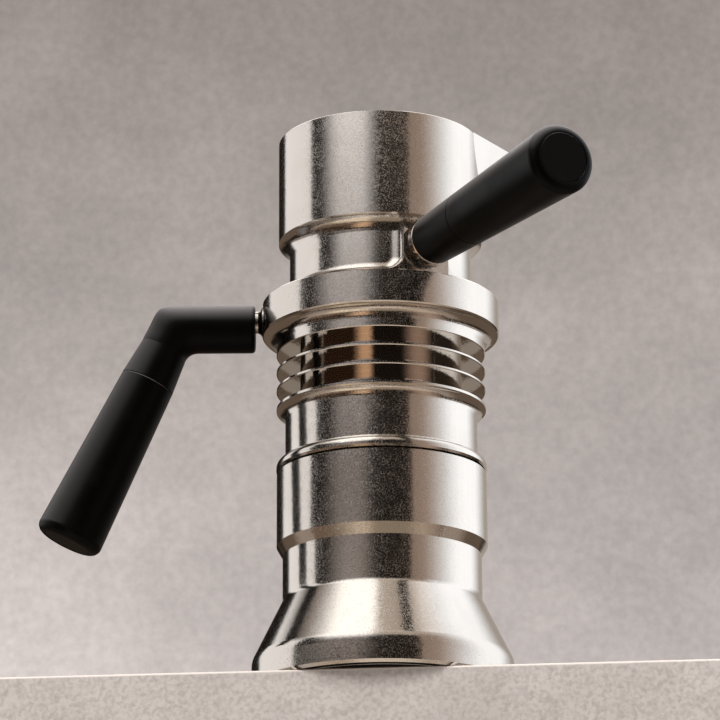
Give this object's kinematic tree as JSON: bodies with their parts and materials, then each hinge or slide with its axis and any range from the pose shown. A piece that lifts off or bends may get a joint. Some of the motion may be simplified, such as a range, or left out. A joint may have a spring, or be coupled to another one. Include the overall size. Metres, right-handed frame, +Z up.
{
  "type": "stovetop espresso maker",
  "caption": "Stovetop espresso maker: flared boiler base, finned cylinder body with bent handle, open pouring jug with straight handle.",
  "frame": {"origin": "middle of the foot's flat underside, on the turning axis", "axes": "+Z up along the turning axis, -X towards the bent handle, -Y towards the front; the spout points to about +X and the straight handle to the front right"},
  "size_m": [0.1892, 0.1665, 0.1995],
  "materials": {
    "satin_nickel": "satin",
    "bright_steel": "satin",
    "black_grip": "matte",
    "seal_rubber": "matte"
  },
  "bodies": {
    "base_unit": {"base_boiler": "satin_nickel", "base_floor": "bright_steel", "safety_valve_body": "satin_nickel", "safety_valve_washer": "bright_steel", "safety_valve_spring": "bright_steel", "safety_valve_cap": "bright_steel"},
    "safety_pin_unit": {"safety_valve_pin": "bright_steel"},
    "lower_gasket": {"base_gasket": "seal_rubber"},
    "body_unit": {"body_shell": "satin_nickel", "bottom_plate": "bright_steel", "plate_seal": "seal_rubber", "valve_housing": "bright_steel", "valve_washer": "bright_steel", "valve_nut": "bright_steel", "valve_seat": "seal_rubber", "valve_spring": "bright_steel", "valve_adjuster": "bright_steel", "bent_spacer": "satin_nickel", "bent_elbow": "black_grip", "bent_grip": "black_grip", "bent_end_cap": "black_grip", "bent_stud": "satin_nickel", "bent_bolt": "bright_steel"},
    "piston_unit": {"piston": "bright_steel", "piston_seals": "seal_rubber"},
    "poppet_unit": {"valve_poppet": "bright_steel"},
    "basket_unit": {"filter_basket": "bright_steel", "basket_floor": "bright_steel"},
    "upper_gasket": {"group_gasket": "seal_rubber"},
    "jug_unit": {"jug": "satin_nickel", "jug_neck": "satin_nickel", "top_screen": "bright_steel", "riser_tube": "bright_steel", "riser_cap": "satin_nickel", "straight_spacer": "satin_nickel", "straight_ferrule": "black_grip", "straight_grip": "black_grip", "straight_end_cap": "black_grip", "straight_stud": "satin_nickel", "straight_nut": "bright_steel"}
  },
  "joints": [
    {"name": "body_turn", "type": "hinge", "parent": "base_unit", "child": "lower_gasket", "pos_m": [0, 0, 0.056], "axis": [0, 0, 1], "range_deg": [0, 1800]},
    {"name": "body_rise", "type": "slide", "parent": "lower_gasket", "child": "body_unit", "axis": [0, 0, 1], "range_m": [0, 0.015]},
    {"name": "basket_lift", "type": "slide", "parent": "body_unit", "child": "basket_unit", "axis": [0, 0, 1], "range_m": [0, 0.04]},
    {"name": "jug_rise", "type": "slide", "parent": "basket_unit", "child": "upper_gasket", "axis": [0, 0, 1], "range_m": [0, 0.01]},
    {"name": "jug_turn", "type": "hinge", "parent": "upper_gasket", "child": "jug_unit", "pos_m": [0, 0, 0.128], "axis": [0, 0, 1], "range_deg": [0, 1440]},
    {"name": "piston_rise", "type": "slide", "parent": "body_unit", "child": "piston_unit", "axis": [0, 0, 1], "range_m": [0, 0.02]},
    {"name": "valve_open", "type": "slide", "parent": "body_unit", "child": "poppet_unit", "axis": [0, 0, 1], "range_m": [0, 0.002], "stiffness_N_per_m": 8000, "springref_m": -0.002, "deforming": ["valve_spring"]},
    {"name": "safety_open", "type": "slide", "parent": "base_unit", "child": "safety_pin_unit", "axis": [0, 1, 0], "range_m": [0, 0.0015], "stiffness_N_per_m": 2300, "springref_m": -0.002, "deforming": ["safety_valve_spring"]}
  ],
  "couplings": [
    {"joint": "body_rise", "follows": "body_turn", "m_per_rad": 0.00047746},
    {"joint": "jug_rise", "follows": "jug_turn", "m_per_rad": 0.00039789}
  ]
}
